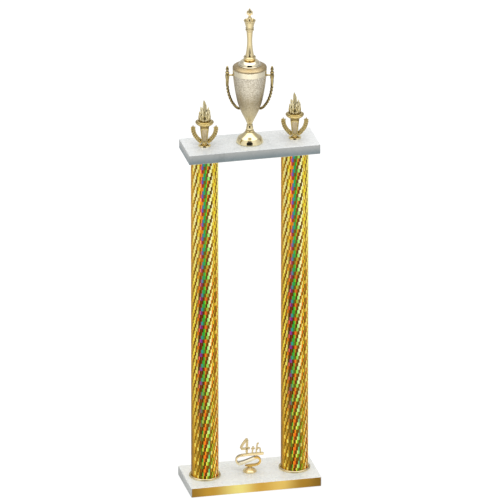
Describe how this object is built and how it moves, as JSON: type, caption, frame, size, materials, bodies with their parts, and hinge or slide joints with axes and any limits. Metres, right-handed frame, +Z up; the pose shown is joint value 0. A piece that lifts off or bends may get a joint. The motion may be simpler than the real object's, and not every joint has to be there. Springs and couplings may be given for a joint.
{
  "type": "column trophy",
  "caption": "Tall award trophy: marble base and deck joined by prismatic-film columns, with a lidded cup and chess king between torch figures on top and a placing trim on the base.",
  "frame": {"origin": "centre of the base's footprint, on the surface that the pads stand on", "axes": "+Z up, -Y towards the front with the engraving plate, +X to the viewer's right"},
  "size_m": [0.254, 0.1149, 0.9721],
  "materials": {
    "base_marble": "polished white marble with faint grey veins",
    "deck_marble": "polished white marble with cool grey veins",
    "felt": "pressed felt",
    "gold_plate": "brushed gold-coloured plate",
    "foil_film": "gold prismatic film with rows of small rainbow cells",
    "paperboard": "plain spiral-wound board",
    "cap_gold": "metallised gold, polished",
    "plug_plastic": "plain moulded",
    "zinc_steel": "zinc plated",
    "torch_gold": "metallised gold, satin",
    "flame_gold": "metallised pale gold, polished",
    "polished_gold": "metallised pale gold, mirror polished",
    "frosted_gold": "metallised champagne gold, frosted",
    "handle_gold": "metallised antique gold with darker grooves",
    "king_gold": "metallised pale gold, polished",
    "trim_gold": "metallised bright gold, polished"
  },
  "bodies": {
    "root": {"base_slab": "base_marble", "base_pads": "felt", "engraving_plate": "gold_plate", "deck_slab": "deck_marble", "left_column_tube": "paperboard", "left_column_film": "foil_film", "left_column_foot_cap": "cap_gold", "left_column_top_plug": "plug_plastic", "left_tie_rod": "zinc_steel", "right_column_tube": "paperboard", "right_column_film": "foil_film", "right_column_foot_cap": "cap_gold", "right_column_top_plug": "plug_plastic", "right_tie_rod": "zinc_steel", "lower_rod_nuts": "zinc_steel", "lower_rod_washers": "zinc_steel", "upper_rod_nuts": "zinc_steel", "cup_bolt": "zinc_steel", "cup_bolt_washer": "zinc_steel", "place_trim_screw": "zinc_steel", "place_trim_washer": "zinc_steel"},
    "left_torch": {"left_torch_foot": "polished_gold", "left_torch_wreath": "torch_gold", "left_torch_shaft": "torch_gold", "left_torch_dish": "torch_gold", "left_torch_flame": "flame_gold"},
    "right_torch": {"right_torch_foot": "polished_gold", "right_torch_wreath": "torch_gold", "right_torch_shaft": "torch_gold", "right_torch_dish": "torch_gold", "right_torch_flame": "flame_gold"},
    "cup": {"cup_foot": "polished_gold", "cup_stem": "polished_gold", "cup_bowl": "frosted_gold", "cup_rim_band": "polished_gold", "cup_lid": "frosted_gold", "lid_collar": "polished_gold", "cup_left_handle": "handle_gold", "cup_right_handle": "handle_gold", "cup_bowl_nut": "zinc_steel", "cup_bowl_washer": "zinc_steel", "king_stud": "zinc_steel", "king_stud_nut": "zinc_steel"},
    "king": {"king_figure": "king_gold", "king_cross": "king_gold"},
    "place_trim": {"place_trim_foot": "trim_gold", "place_trim_ribbon": "trim_gold", "place_trim_numeral": "trim_gold"}
  },
  "joints": [
    {"name": "left_torch_swivel", "type": "hinge", "parent": "root", "child": "left_torch", "pos_m": [-0.0875, 0, 0.7001], "axis": [0, 0, 1], "continuous": true},
    {"name": "right_torch_swivel", "type": "hinge", "parent": "root", "child": "right_torch", "pos_m": [0.0875, 0, 0.7001], "axis": [0, 0, 1], "continuous": true},
    {"name": "cup_swivel", "type": "hinge", "parent": "root", "child": "cup", "pos_m": [0, 0, 0.7001], "axis": [0, 0, 1], "continuous": true},
    {"name": "king_swivel", "type": "hinge", "parent": "cup", "child": "king", "pos_m": [0, 0, 0.8636], "axis": [0, 0, 1], "continuous": true},
    {"name": "place_trim_swivel", "type": "hinge", "parent": "root", "child": "place_trim", "pos_m": [0, 0, 0.02065], "axis": [0, 0, 1], "continuous": true}
  ]
}
